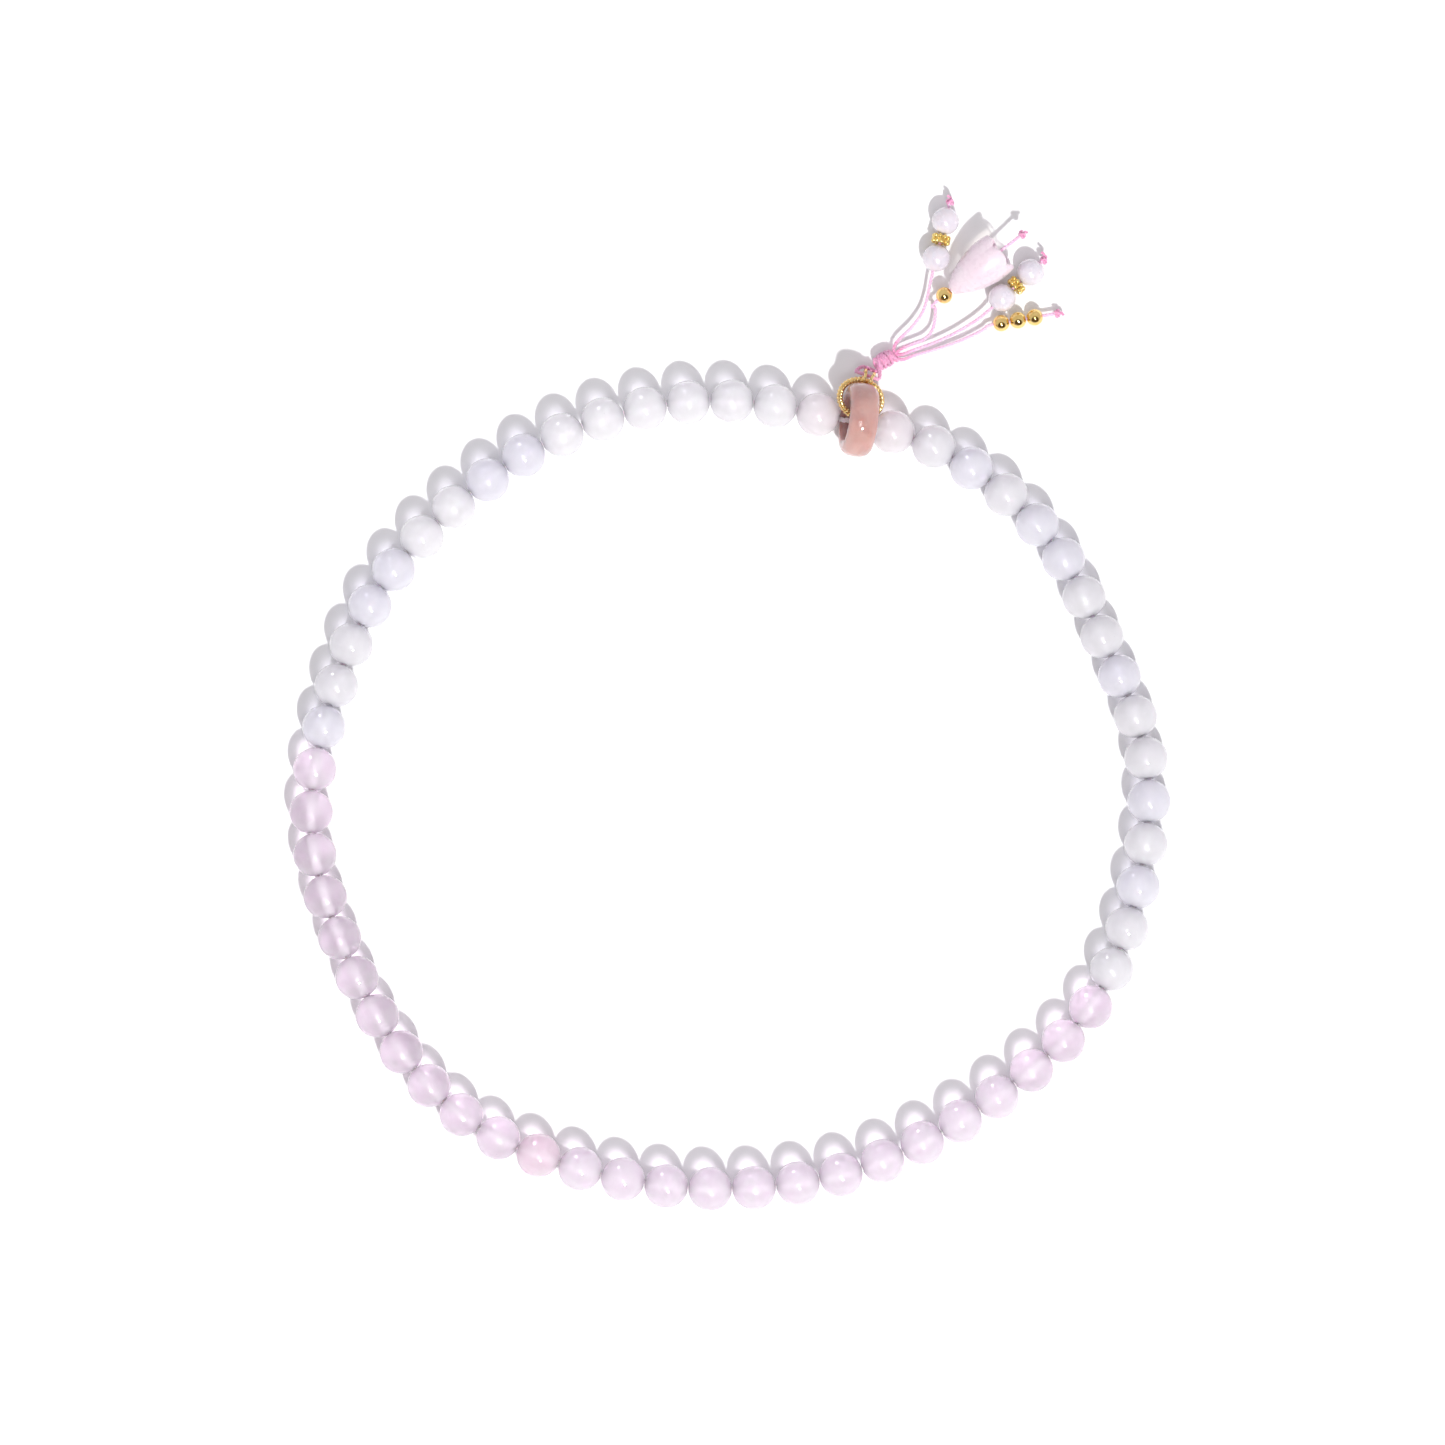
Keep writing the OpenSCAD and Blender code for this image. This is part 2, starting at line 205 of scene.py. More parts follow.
def tube(path, radius, sides=12, closed=False, plies=1, lay=1.5 * MM):
    """Tube along a path. With plies it is a twisted thread, whose plies go once round in lay."""
    across, over = path_frames(path, closed)
    along = lengths_along(np.vstack([path, path[:1]]))
    turns = along[:-1] / lay if plies > 1 else np.zeros(len(path))
    if closed and plies > 1:
        turns = turns * round(along[-1] / lay) / (along[-1] / lay)
    flat = np.arange(sides) * TURN / sides
    reach = radius * ply_reach(flat, plies)
    angle = flat[None, :] + TURN * turns[:, None]
    points = path[:, None] + reach[None, :, None] * (
        np.cos(angle)[:, :, None] * across[:, None] + np.sin(angle)[:, :, None] * over[:, None])
    faces = grid_faces(len(path), sides, closed)
    if not closed:
        faces += [list(range(sides))[::-1], [(len(path) - 1) * sides + k for k in range(sides)]]
    return points.reshape(-1, 3), faces


def twisted(path, radius, sides=15, closed=False, lay=1.5 * MM):
    """Three-ply thread along a path."""
    return tube(path, radius, sides, closed, plies=3, lay=lay)


def lathe(outline, sides, centre, axis, first_angle=0.0):
    """Closed outline of (radius, height) pairs turned about an axis. outline gives it at an angle."""
    across, over = square_to(axis)
    angles = first_angle + np.arange(sides) * TURN / sides
    rows = np.array([outline(a) for a in angles])
    ways = np.cos(angles)[:, None] * across + np.sin(angles)[:, None] * over
    points = centre + rows[:, :, :1] * ways[:, None] + rows[:, :, 1:] * axis
    return points.reshape(-1, 3), grid_faces(sides, rows.shape[1], True)


def merged(shapes):
    """Several shapes as one."""
    points, faces, start = [], [], 0
    for some, quads in shapes:
        points.append(some)
        faces += [[start + i for i in face] for face in quads]
        start += len(some)
    return np.vstack(points), faces


def add_piece(name, shape, material, body, nodes, sharp=40):
    """Object from points and faces, which rides on a body and stands for CAD nodes."""
    points, faces = shape
    mesh = bpy.data.meshes.new(name)
    mesh.from_pydata([tuple(p) for p in points], [], faces)
    work = bmesh.new()
    work.from_mesh(mesh)
    bmesh.ops.recalc_face_normals(work, faces=work.faces)
    work.to_mesh(mesh)
    work.free()
    mesh.materials.append(material)
    mesh.shade_smooth()
    mesh.set_sharp_from_angle(angle=math.radians(sharp))
    obj = bpy.data.objects.new(name, mesh)
    bpy.context.scene.collection.objects.link(obj)
    if body:
        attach(obj, body)
    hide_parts(*nodes)
    return obj


def rough_up(shape, size, scale):
    """The shape with its points moved a little by smooth noise, at most by about size."""
    points, faces = shape
    moved = [p + size * np.array(noise.noise_vector(Vector(p) * scale)) for p in points]
    return np.array(moved), faces


# ---- Camera ----

CAMERA_ELEVATION = math.radians(80)
CAMERA_DISTANCE = 4.0
CAMERA_LENS = 724
CAMERA_SENSOR = 36
CAMERA_TARGET = Vector((-0.34 * MM, 9.42 * MM, 3 * MM))


def make_camera():
    """Far camera with a long lens, steeply above the near side of the loop."""
    data = bpy.data.cameras.new("camera")
    data.sensor_width = CAMERA_SENSOR
    data.lens = CAMERA_LENS
    camera = bpy.data.objects.new("camera", data)
    back = Vector((0, -math.cos(CAMERA_ELEVATION), math.sin(CAMERA_ELEVATION)))
    camera.location = CAMERA_TARGET + CAMERA_DISTANCE * back
    camera.rotation_euler = (-back).to_track_quat("-Z", "Y").to_euler()
    bpy.context.scene.collection.objects.link(camera)
    bpy.context.scene.camera = camera


make_camera()


# ---- Materials ----

def new_material(name, **values):
    """Material with one Principled shader, whose sockets have these values."""
    material = bpy.data.materials.new(name)
    material.use_nodes = True
    shader = material.node_tree.nodes["Principled BSDF"]
    for socket, value in values.items():
        shader.inputs[socket.replace("_", " ").title().replace("Ior", "IOR")].default_value = value
    return material, material.node_tree, shader


def object_point(tree, stretch=(1, 1, 1)):
    """The object's own coordinates, so that a pattern moves with its piece."""
    place = tree.nodes.new("ShaderNodeTexCoord")
    mapping = tree.nodes.new("ShaderNodeMapping")
    mapping.inputs["Scale"].default_value = stretch
    tree.links.new(place.outputs["Object"], mapping.inputs["Vector"])
    return mapping.outputs["Vector"]


def noise_at(tree, scale, detail=2.0, distortion=0.0, stretch=(1, 1, 1)):
    """Smooth random pattern from 0 to 1, with about scale blobs to a metre."""
    texture = tree.nodes.new("ShaderNodeTexNoise")
    texture.inputs["Scale"].default_value = scale
    texture.inputs["Detail"].default_value = detail
    texture.inputs["Distortion"].default_value = distortion
    tree.links.new(object_point(tree, stretch), texture.inputs["Vector"])
    return texture.outputs["Fac"]


def ramp(tree, value, stops):
    """Colours by value: stops are (place, colour) pairs."""
    node = tree.nodes.new("ShaderNodeValToRGB")
    node.color_ramp.elements[0].position, node.color_ramp.elements[1].position = 0, 1
    while len(node.color_ramp.elements) < len(stops):
        node.color_ramp.elements.new(0.5)
    for element, (place, colour) in zip(node.color_ramp.elements, stops):
        element.position = place
        element.color = (*colour, 1) if hasattr(colour, "__len__") else (colour, colour, colour, 1)
    tree.links.new(value, node.inputs["Fac"])
    return node.outputs["Color"]


def mix(tree, share, first, second):
    """Colour between first and second. Each is a socket or a plain colour."""
    node = tree.nodes.new("ShaderNodeMix")
    node.data_type = "RGBA"
    tree.links.new(share, node.inputs["Factor"])
    for name, colour in (("A", first), ("B", second)):
        socket = [s for s in node.inputs if s.name == name and s.type == "RGBA"][0]
        if isinstance(colour, bpy.types.NodeSocket):
            tree.links.new(colour, socket)
        else:
            socket.default_value = (*colour, 1)
    return [s for s in node.outputs if s.type == "RGBA"][0]


def bump(tree, shader, height, strength, distance):
    """Fine relief of a pattern, which tilts the light but leaves the shape as it is."""
    node = tree.nodes.new("ShaderNodeBump")
    node.inputs["Strength"].default_value = strength
    node.inputs["Distance"].default_value = distance
    tree.links.new(height, node.inputs["Height"])
    tree.links.new(node.outputs["Normal"], shader.inputs["Normal"])


# A veil is a little lighter than its stone, and no lighter than the cap, and a speck is darker
VEIL_LIGHT, VEIL_CAP = 1.04, 0.97
SPECK_DARK = 0.55


def stone(name, light, dark, transmission, scatter, cloud_scale=330, gloss=0.06, shade=None,
          depth=6 * MM, glow=1.0):
    """Polished translucent stone: two tints in soft clouds, fine veils and a few specks.

    Light spreads inside it by depth, and scatter says how far each colour does. gloss is its
    roughness, and shade is the tint of the light that its shadow lets through.
    """
    material, tree, shader = new_material(
        name, subsurface_weight=glow, subsurface_radius=scatter, subsurface_scale=depth,
        transmission_weight=transmission, ior=1.5, coat_weight=0.35, coat_roughness=0.03,
        sheen_weight=0.12, sheen_roughness=0.25)
    clouds = noise_at(tree, cloud_scale, detail=3, distortion=0.6)
    body = ramp(tree, clouds, [(0.36, dark), (0.62, light)])
    veils = ramp(tree, noise_at(tree, 900, detail=4, distortion=1.5, stretch=(1, 0.5, 1)),
                 [(0.58, 0.0), (0.72, 0.6)])
    veiled = mix(tree, veils, body, tuple(min(VEIL_CAP, VEIL_LIGHT * c) for c in light))
    specks = ramp(tree, noise_at(tree, 2600, detail=1), [(0.80, 0.0), (0.84, 0.5)])
    specked = mix(tree, specks, veiled, tuple(SPECK_DARK * c for c in dark))
    tree.links.new(specked, shader.inputs["Base Color"])
    scuffs = ramp(tree, noise_at(tree, 1500, detail=5), [(0.45, gloss), (0.75, 2.2 * gloss)])
    tree.links.new(scuffs, shader.inputs["Roughness"])
    bump(tree, shader, noise_at(tree, 700, detail=1), 0.05, 0.02 * MM)
    if shade:
        let_light_through(tree, shader, shade)
    return material


# The edge of a translucent ball, which turns light aside, lets only this share of it through
EDGE_SHADE = 0.22


def let_light_through(tree, shader, tint):
    """The shadow of a translucent stone is pale, because some light comes through it, tinted."""
    clear = tree.nodes.new("ShaderNodeBsdfTransparent")
    edge = tree.nodes.new("ShaderNodeLayerWeight")
    edge.inputs["Blend"].default_value = 0.5
    edge_tint = tuple(EDGE_SHADE * c for c in tint)
    tints = ramp(tree, edge.outputs["Facing"], [(0.05, tint), (0.3, edge_tint)])
    tree.links.new(tints, clear.inputs["Color"])
    either = tree.nodes.new("ShaderNodeMixShader")
    light_path = tree.nodes.new("ShaderNodeLightPath")
    tree.links.new(light_path.outputs["Is Shadow Ray"], either.inputs[0])
    tree.links.new(shader.outputs["BSDF"], either.inputs[1])
    tree.links.new(clear.outputs["BSDF"], either.inputs[2])
    tree.links.new(either.outputs["Shader"], tree.nodes["Material Output"].inputs["Surface"])


def gold(name, colour, dark, roughness, relief):
    """Gold plate, a little worn and uneven."""
    material, tree, shader = new_material(name, metallic=1.0)
    wear = ramp(tree, noise_at(tree, 1400, detail=3), [(0.35, dark), (0.6, colour)])
    tree.links.new(wear, shader.inputs["Base Color"])
    smears = noise_at(tree, 4000, detail=3)
    tree.links.new(ramp(tree, smears, [(0.3, 0.6 * roughness), (0.7, 1.5 * roughness)]),
                   shader.inputs["Roughness"])
    bump(tree, shader, noise_at(tree, 2500, detail=2), relief, 0.02 * MM)
    return material


# The deep pink of the thread near its knot, light and dark, and the distances over which it fades
HOT_PINK = ((0.85, 0.42, 0.61), (0.74, 0.25, 0.46))
DEEP_PINK_FADE = (3.2 * MM, 5.5 * MM)


def thread(name, light, dark, near_knot=False):
    """Twisted waxed thread: fine fibres and a soft sheen. It may be a deeper pink near the knot."""
    material, tree, shader = new_material(
        name, subsurface_weight=0.6, subsurface_radius=(1.0, 0.5, 0.8), subsurface_scale=0.25 * MM,
        sheen_weight=0.4, sheen_roughness=0.4)
    fibres = noise_at(tree, 9000, detail=3, distortion=0.8)
    colour = ramp(tree, fibres, [(0.3, dark), (0.6, light)])
    if near_knot:
        away = tree.nodes.new("ShaderNodeVectorMath")
        away.operation = "DISTANCE"
        away.inputs[1].default_value = KNOT_START
        tree.links.new(object_point(tree), away.inputs[0])
        # Deeper pink close to the knot, which fades to the thread's own colour further along it
        deep_pink = ramp(tree, fibres, [(0.3, HOT_PINK[1]), (0.6, HOT_PINK[0])])
        fade = tree.nodes.new("ShaderNodeMapRange")
        fade.inputs["From Min"].default_value, fade.inputs["From Max"].default_value = DEEP_PINK_FADE
        tree.links.new(away.outputs["Value"], fade.inputs["Value"])
        colour = mix(tree, fade.outputs["Result"], deep_pink, colour)
    tree.links.new(colour, shader.inputs["Base Color"])
    tree.links.new(ramp(tree, fibres, [(0.2, 0.5), (0.8, 0.75)]), shader.inputs["Roughness"])
    bump(tree, shader, fibres, 0.5, 0.03 * MM)
    return material


# How far red, green and blue light spread in each stone, and the tint of the light in its shadow
ROSE_SCATTER = (1.0, 0.8, 0.95)
MILKY_SCATTER = (1.0, 0.95, 1.0)
AGATE_SCATTER = (1.0, 0.5, 0.4)
ROSE_SHADE = (0.92, 0.88, 0.92)
MILKY_SHADE = (0.62, 0.61, 0.64)
BORE_SHADE = (0.95, 0.93, 0.95)
CARVED_SHADE = (0.93, 0.92, 0.90)
MILKY_TRANSMISSION = 0.3
# Light and dark tint of each kind of bead, and how clear each kind of rose quartz is
ROSES = {
    kind: stone(f"rose_quartz_{kind}", light, dark, transmission, ROSE_SCATTER, shade=ROSE_SHADE)
    for kind, light, dark, transmission in (
        ("pale", (0.87, 0.76, 0.87), (0.84, 0.72, 0.84), 0.35),
        ("clear", (0.90, 0.79, 0.89), (0.86, 0.73, 0.85), 0.6),
        ("deep", (0.90, 0.73, 0.83), (0.86, 0.66, 0.77), 0.4))}
MILKS = {
    kind: stone(f"milky_{kind}", light, dark, MILKY_TRANSMISSION, MILKY_SCATTER, shade=MILKY_SHADE)
    for kind, light, dark in (
        ("white", (0.84, 0.82, 0.87), (0.80, 0.78, 0.83)),
        ("bright", (0.90, 0.88, 0.93), (0.87, 0.84, 0.90)),
        ("lilac", (0.82, 0.80, 0.90), (0.78, 0.76, 0.87)),
        ("blush", (0.91, 0.83, 0.88), (0.87, 0.78, 0.84)))}
DRILLED = stone("drilled_quartz", (0.98, 0.95, 0.97), (0.96, 0.92, 0.95), 0.0, MILKY_SCATTER,
                gloss=0.4, shade=BORE_SHADE)
AGATE = stone("agate_salmon", (0.60, 0.38, 0.34), (0.50, 0.29, 0.27), 0.08, AGATE_SCATTER,
              cloud_scale=260, depth=2 * MM)
CARVED = stone("carved_quartz", (0.81, 0.70, 0.76), (0.78, 0.65, 0.72), 0.0, ROSE_SCATTER,
               gloss=0.25, shade=CARVED_SHADE, depth=0.5 * MM, glow=0.5)
GOLD_WIRE = gold("gold_wire", (0.95, 0.72, 0.34), (0.80, 0.54, 0.20), 0.16, 0.1)
GOLD_BALL = gold("polished_gold", (0.98, 0.72, 0.28), (0.92, 0.64, 0.22), 0.07, 0.04)
GOLD_GRAIN = gold("granulated_gold", (0.98, 0.78, 0.30), (0.85, 0.58, 0.14), 0.18, 0.2)
THREAD_PALE = thread("thread_pale", (0.88, 0.64, 0.79), (0.78, 0.45, 0.65), near_knot=True)
THREAD_DEEP = thread("thread_deep", *HOT_PINK)
CORD_PINK = thread("stringing_thread", (0.96, 0.88, 0.92), (0.93, 0.80, 0.86))


def pearl_material():
    """Nacre: a soft glow, faint bands of lilac and rose, and a smooth clear skin."""
    material, tree, shader = new_material(
        "pearl_nacre", subsurface_weight=0.5, subsurface_radius=(1.0, 0.8, 0.8),
        subsurface_scale=0.8 * MM, coat_weight=1.0, coat_roughness=0.06, ior=1.7)
    bands = ramp(tree, noise_at(tree, 500, detail=3, distortion=1.2),
                 [(0.3, (0.68, 0.64, 0.71)), (0.5, (0.74, 0.70, 0.76)), (0.7, (0.76, 0.70, 0.74))])
    tree.links.new(bands, shader.inputs["Base Color"])
    satin = ramp(tree, noise_at(tree, 1200, detail=4), [(0.3, 0.16), (0.7, 0.32)])
    tree.links.new(satin, shader.inputs["Roughness"])
    bump(tree, shader, noise_at(tree, 700, detail=1), 0.04, 0.03 * MM)
    return material


PEARL = pearl_material()


# ---- Tassel threads and knots ----

# Inside the wrapped knot the four strands wind round each other
HELIX_R = 0.4 * MM
HELIX_TURNS = 0.9
# Two strands in one run lie this far above and below its middle
PAIR_GAP = 0.2 * MM
STRAND_STEPS = 24
PATH_STEP = 0.1 * MM
PATH_SMOOTHING = 12
KNOT_WAY = unit(KNOT_END - KNOT_START)
KNOT_ACROSS, KNOT_OVER = square_to(KNOT_WAY)


def round_knot(turns, radius):
    """Point beside the knot's middle line, turned about it: 0 turns is one side of it."""
    return radius * (math.cos(TURN * turns) * KNOT_ACROSS + math.sin(TURN * turns) * KNOT_OVER)


def strand_path(k):
    """From the thread's bend at the jump rings, through the wrapped knot, to the end knot."""
    lift = np.array((0, 0, PAIR_GAP if k in (0, 2) else -PAIR_GAP))
    run = (OUTSIDE_RUN if k < 2 else INSIDE_RUN) + lift
    knot = [
        KNOT_START + t * (KNOT_END - KNOT_START) + round_knot(k / 4 + HELIX_TURNS * t, HELIX_R)
        for t in np.linspace(0, 1, 5)]
    points = np.vstack([BIGHT + lift / 2, run, knot, STRAND_ROUTES[k]])
    path = even(open_spline(points, STRAND_STEPS), PATH_STEP)
    for _ in range(PATH_SMOOTHING):
        path[1:-1] = (path[:-2] + 2 * path[1:-1] + path[2:]) / 4
    return even(path, PATH_STEP)


def knot_tube(centre, way, size, radius):
    """Small overhand knot: a trefoil tube that reaches size from its middle."""
    across, over = square_to(way)
    t = np.linspace(0, TURN, 72, endpoint=False)
    x, y, z = np.sin(t) + 2 * np.sin(2 * t), np.cos(t) - 2 * np.cos(2 * t), -np.sin(3 * t)
    path = centre + size / 3 * (
        x[:, None] * across + y[:, None] * over + 1.5 * z[:, None] * way)
    return twisted(path, radius, closed=True, lay=1.0 * MM)


END_KNOT_SIZE = 0.5 * MM
END_KNOT_R = 0.2 * MM
# How long the cut tail past each end knot is, and how far it turns off the strand
TAILS = [(0.5 * MM, 35), (0.3 * MM, -25), (0.7 * MM, 60), (0.4 * MM, -30)]


def turned(way, degrees):
    """A direction turned about the upright."""
    c, s = math.cos(math.radians(degrees)), math.sin(math.radians(degrees))
    return np.array((way[0] * c - way[1] * s, way[0] * s + way[1] * c, way[2]))


def end_knot(k, path):
    """Tight overhand knot at the end of a strand, with its cut tail."""
    end, way = path[-1], unit(path[-1] - path[-8])
    length, turn = TAILS[k]
    bent = turned(way, turn)
    tail = np.array([
        end + 0.2 * MM * way, end + 0.5 * MM * way + 0.1 * MM * bent, end + (0.5 * MM + length) * bent])
    shape = merged([
        knot_tube(end, way, END_KNOT_SIZE, END_KNOT_R),
        twisted(even(open_spline(tail, 12), PATH_STEP), END_KNOT_R)])
    return add_piece(f"end_knot_{k + 1}", shape, THREAD_DEEP, f"strand_{k + 1}", [])


def make_strand(k, pieces):
    """One strand with its end knot. It bends where it comes out of the wrapped knot."""
    name = f"strand_{k + 1}"
    path = strand_path(k)
    shape = twisted(path, THREAD_D / 2, sides=18)
    nodes = [name] if k else [name, "thread_loop"]
    obj = add_piece(f"thread_{name}", shape, THREAD_PALE, None, nodes)
    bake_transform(obj)
    knot = end_knot(k, path)


WRAP_TURNS = 5.2
WRAP_R = 0.86 * MM
WRAP_WIRE_R = 0.25 * MM
# The winding starts before the knot's start, is longer than the knot, and is narrower at both ends
WRAP_BEFORE = 0.6 * MM
WRAP_LONGER = 0.9 * MM
WRAP_NARROWING = 0.12
CORE_R = 0.68 * MM
SLANT_R = 0.94 * MM
SLANT_WIRE_R = 0.24 * MM
# For each slanting turn: its turn about the knot, its tilt, and its place along the knot
SLANTS = [(0.1, 0.7, 0.15), (0.45, -0.6, 0.55), (0.8, 0.6, 0.95)]


def make_wrapped_knot():
    """Thread wound round the bundle, with three slanting turns drawn tight over the winding."""
    length = np.linalg.norm(KNOT_END - KNOT_START)
    start = KNOT_START - WRAP_BEFORE * KNOT_WAY
    run = length + WRAP_LONGER
    winding = np.array([
        start + t * run * KNOT_WAY
        + round_knot(WRAP_TURNS * t, WRAP_R * (1 - WRAP_NARROWING * math.cos(TURN * t)))
        for t in np.linspace(0, 1, 200)])
    slants = []
    for turn, tilt, place in SLANTS:
        slants.append(np.array([
            KNOT_START + (place * length + tilt * WRAP_R * math.sin(a)) * KNOT_WAY
            + round_knot(turn + a / TURN, SLANT_R) for a in np.linspace(0, TURN, 60, endpoint=False)]))
    core_path = KNOT_START + np.linspace(-0.2, 1.1, 20)[:, None] * length * KNOT_WAY
    shape = merged([tube(core_path, CORE_R, sides=20), twisted(winding, WRAP_WIRE_R)]
                   + [twisted(path, SLANT_WIRE_R, closed=True) for path in slants])
    add_piece("knot_winding", rough_up(shape, 0.05 * MM, 900), THREAD_DEEP, "tassel_head",
              ["wrapped_knot"])


# ---- Beads ----

def drilled_outline(radius, bore, rim, rings):
    """Round bead with a hole and a small chamfer at each end, as a closed outline."""
    first = math.asin((bore + rim) / radius)
    outside = [(radius * math.sin(a), radius * math.cos(a))
               for a in np.linspace(first, math.pi - first, rings)]
    wall = outside[0][1] - rim
    return outside + [(bore, z) for z in np.linspace(-wall, wall, 5)]


def spin_place(node):
    """Centre and axis of a piece that spins on its thread."""
    joint = JOINTS[f"{node}_spin"]
    return np.array(joint["pos_m"]), unit(np.array(joint["axis"]))


ROSE_LOW, ROSE_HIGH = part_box(f"rose_bead_{FIRST_ROSE}")
BEAD_R = (ROSE_HIGH.z - ROSE_LOW.z) / 2


def loop_junctions():
    """Points of the loop where two beads meet, with the stone ring's space before the first."""
    fine = closed_spline(CORD_ROUTE, ROUTE_STEPS)
    fine = np.vstack([fine, fine[:1]])
    along = lengths_along(fine)
    scale = ((BEAD_COUNT - 1) * PITCH + RING_SPACE) / along[-1]
    at = ((RING_SPACE - PITCH) / 2 + PITCH * np.arange(BEAD_COUNT + 1)) / scale
    middle_z = (ROSE_LOW.z + ROSE_HIGH.z) / 2
    return np.stack([scale * np.interp(at, along, fine[:, 0]), scale * np.interp(at, along, fine[:, 1]),
                     np.full(len(at), middle_z)], axis=1)


JUNCTIONS = loop_junctions()

# Which beads are of which tint. The other pink beads are clear, and the other milky ones white
DEEP_ROSE = 31
PALE_ROSES = range(20, 31)
BLUSHES = (1, BEAD_COUNT)
LILACS = (3, 5, 6, 9, 12, 14, 43, 46, 47, 50, 51)
FIRST_BRIGHT = 48


def is_rose(i):
    """Whether a loop bead is a pink one."""
    return FIRST_ROSE <= i <= LAST_ROSE


def stone_of(i):
    """The stone that a loop bead is cut from."""
    if i == DEEP_ROSE:
        return ROSES["deep"]
    if is_rose(i):
        return ROSES["pale" if i in PALE_ROSES else "clear"]
    if i in BLUSHES:
        return MILKS["blush"]
    if i in LILACS:
        return MILKS["lilac"]
    return MILKS["bright" if i >= FIRST_BRIGHT else "white"]


def frost_bore(bead, centre, axis):
    """The drilled wall inside a clear bead is matt and pale, and shows as a lighter band."""
    bead.data.materials.append(DRILLED)
    for face in bead.data.polygons:
        away = np.array(face.center) - centre
        if np.linalg.norm(away - (away @ axis) * axis) < 1.02 * BORE_R:
            face.material_index = 1


# The chamfer at a bead's holes is between these sizes
BEAD_RIMS = (0.04 * MM, 0.1 * MM)
BEAD_SIDES = 48


def make_loop_bead(i):
    """One stone bead of the loop. The milky ones away from the stone ring are one CAD node."""
    rose = is_rose(i)
    if rose:
        node = f"rose_bead_{i}"
    elif i <= LOOSE_MILKY or i > BEAD_COUNT - LOOSE_MILKY:
        node = f"milky_bead_{i}"
    else:
        node = "milky_bead_row"
    centre = (JUNCTIONS[i - 1] + JUNCTIONS[i]) / 2
    axis = unit(JUNCTIONS[i] - JUNCTIONS[i - 1])
    outline = drilled_outline(BEAD_R, BORE_R, draw.uniform(*BEAD_RIMS), 30)
    shape = lathe(lambda a: outline, BEAD_SIDES, centre, axis, draw.uniform(0, TURN))
    name = f"quartz_bead_{i:02d}" if rose else f"milky_stone_bead_{i:02d}"
    body = "strung_loop" if node == "milky_bead_row" else node
    bead = add_piece(name, shape, stone_of(i), body, [node])
    if rose:
        frost_bore(bead, centre, axis)


def half_height(node):
    """Radius of a round CAD piece."""
    low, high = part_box(node)
    return (high - low).z / 2


def make_pearl(node):
    """Drilled pearl, a little out of round."""
    centre, axis = spin_place(node)
    outline = drilled_outline(half_height(node), TASSEL_BORE_R, 0.06 * MM, 26)
    shape = rough_up(lathe(lambda a: outline, 48, centre, axis), 0.05 * MM, 260)
    return add_piece(f"nacre_{node}", shape, PEARL, node, [node])


def make_gold_bead(node):
    """Smooth gold ball with a rolled rim round each hole."""
    centre, axis = spin_place(node)
    outline = drilled_outline(half_height(node), TASSEL_BORE_R, 0.08 * MM, 24)
    shape = lathe(lambda a: outline, 40, centre, axis)
    return add_piece(f"ball_{node}", shape, GOLD_BALL, node, [node])


GRAINS = 9
GRAIN_R = 0.33 * MM
SPACER_R = 1.35 * MM
DRUM_R = SPACER_R - 0.9 * GRAIN_R
DRUM_HALF = 0.5 * MM
ROW_HEIGHT = 0.34 * MM
# For each row of grains: its height, its turn in grains, the grains' size, and how far out they sit
GRAIN_ROWS = [
    (-ROW_HEIGHT, 0.0, GRAIN_R, SPACER_R - GRAIN_R),
    (ROW_HEIGHT, 0.5, GRAIN_R, SPACER_R - GRAIN_R),
    (0.0, 0.25, 0.5 * GRAIN_R, SPACER_R - 0.55 * GRAIN_R)]


def gold_grain(spot, axis, radius):
    """Small ball, whose outline stops just short of its poles."""
    ball = [(radius * math.sin(b), radius * math.cos(b)) for b in np.linspace(0.02, math.pi - 0.02, 9)]
    return lathe(lambda a: ball, 12, spot, axis)


def make_spacer(node):
    """Two rows of soldered gold grains round a drum, with fine grains between them."""
    centre, axis = spin_place(node)
    across, over = square_to(axis)
    drum = [
        (DRUM_R, DRUM_HALF), (DRUM_R, -DRUM_HALF),
        (TASSEL_BORE_R, -DRUM_HALF), (TASSEL_BORE_R, DRUM_HALF)]
    shapes = [lathe(lambda a: drum, 32, centre, axis)]
    for height, shift, radius, reach in GRAIN_ROWS:
        for g in range(GRAINS):
            a = TURN * (g + shift) / GRAINS
            spot = centre + height * axis + reach * (math.cos(a) * across + math.sin(a) * over)
            shapes.append(gold_grain(spot, axis, radius))
    return add_piece(f"grained_{node}", merged(shapes), GOLD_GRAIN, node, [node])


# ---- Flower ----

FLOWER_L = 8.8 * MM
FLOWER_R = 3.3 * MM
FLOWER_TIP_R = 0.75 * MM
FLOWER_WALL = 0.6 * MM
# The floor of its cup is at this share of its length
FLOWER_CUP = 0.4
# Its tip is this far along the straight stretch of its strand
FLOWER_TIP_PLACE = 2.35 * MM
PETALS = 5
# How far the mouth draws in, and the folds between petals cut into its side and its lip
MOUTH_DRAW = 0.12
SIDE_FOLD = 0.07
LIP_FOLD = 0.06


